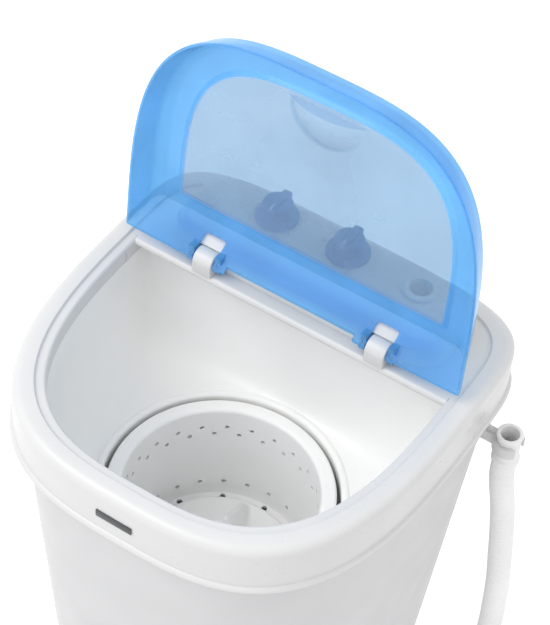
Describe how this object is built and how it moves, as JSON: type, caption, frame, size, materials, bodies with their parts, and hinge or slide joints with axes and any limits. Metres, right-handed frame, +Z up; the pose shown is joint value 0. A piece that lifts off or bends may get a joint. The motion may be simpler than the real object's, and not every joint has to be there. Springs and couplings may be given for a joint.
{
  "type": "mini washing machine",
  "caption": "Small free-standing tub washer with a deep rim, a hinged translucent lid, spin basket, pulsator, belt drive, two control knobs and a side drain hose.",
  "frame": {"origin": "on the floor, under the middle of the rim's width and depth", "axes": "+Z up, -Y towards the front of the machine, +X to its right seen from the front"},
  "size_m": [0.446, 0.396, 0.8531],
  "materials": {
    "white_shell": "smooth satin moulded shell",
    "white_rim": "glossy moulded rim",
    "white_tub": "satin moulded tub",
    "lid_blue": "translucent tinted plastic",
    "grey_plastic": "matt moulded",
    "grey_rubber": "matt rubber",
    "plate_grey": "blank satin plate",
    "knob_blue": "satin moulded knob",
    "hose_grey": "flexible corrugated plastic",
    "steel": "turned steel",
    "zinc_steel": "zinc plated sheet",
    "cast_aluminium": "cast",
    "bronze": "sintered bronze",
    "copper": "varnished winding"
  },
  "bodies": {
    "cabinet": {"outer_shell": "white_shell", "base_pan": "grey_plastic", "rubber_feet": "grey_rubber", "base_screws": "steel", "cord_gland": "grey_rubber", "top_frame": "white_rim", "name_plate": "plate_grey", "console_panel": "white_rim", "console_screws": "steel", "wash_timer": "grey_plastic", "mode_switch": "grey_plastic", "inlet_chute": "grey_plastic", "inner_tub": "white_tub", "tub_screws": "steel", "drain_grate": "grey_plastic", "shaft_seal": "grey_rubber", "bearing_housing": "cast_aluminium", "housing_screws": "steel", "shaft_bushes": "bronze", "drive_plate": "zinc_steel", "plate_bolts": "steel", "drive_belt": "grey_rubber", "motor_core": "zinc_steel", "motor_bells": "cast_aluminium", "motor_windings": "copper", "motor_bushes": "bronze", "motor_mounts": "grey_rubber", "motor_bolts": "steel", "capacitor": "grey_plastic", "capacitor_strap": "zinc_steel", "drain_pipe": "grey_plastic", "outlet_elbow": "hose_grey", "drain_hose": "hose_grey", "hose_cuff": "hose_grey", "hose_clip": "white_rim", "clip_screws": "steel"},
    "lid": {"lid_shell": "lid_blue", "hinge_pins": "steel"},
    "timer": {"timer_spindle": "steel", "wash_timer_knob": "knob_blue"},
    "mode": {"mode_spindle": "steel", "mode_knob": "knob_blue"},
    "spinner": {"drive_shaft": "steel", "spin_basket": "white_tub", "pulsator": "white_tub", "pulsator_screw": "steel", "drive_pulley": "cast_aluminium", "pulley_nut": "steel"},
    "rotor": {"motor_rotor": "steel", "motor_pulley": "cast_aluminium"}
  },
  "joints": [
    {"name": "lid_hinge", "type": "hinge", "parent": "cabinet", "child": "lid", "pos_m": [0, 0.073, 0.589], "axis": [1, 0, 0], "range_deg": [0, 93.4]},
    {"name": "timer_turn", "type": "hinge", "parent": "cabinet", "child": "timer", "pos_m": [-0.064, 0.145, 0.6], "axis": [0, 0, 1], "range_deg": [-300, 0]},
    {"name": "mode_turn", "type": "hinge", "parent": "cabinet", "child": "mode", "pos_m": [0.014, 0.145, 0.6], "axis": [0, 0, 1], "range_deg": [-90, 0]},
    {"name": "drum_spin", "type": "hinge", "parent": "cabinet", "child": "spinner", "pos_m": [0, -0.03, 0.3], "axis": [0, 0, 1], "continuous": true},
    {"name": "motor_spin", "type": "hinge", "parent": "cabinet", "child": "rotor", "pos_m": [-0.07769, 0.04502, 0.2], "axis": [0, 0, 1], "continuous": true}
  ],
  "couplings": [
    {"joint": "motor_spin", "follows": "drum_spin", "ratio": 3}
  ]
}
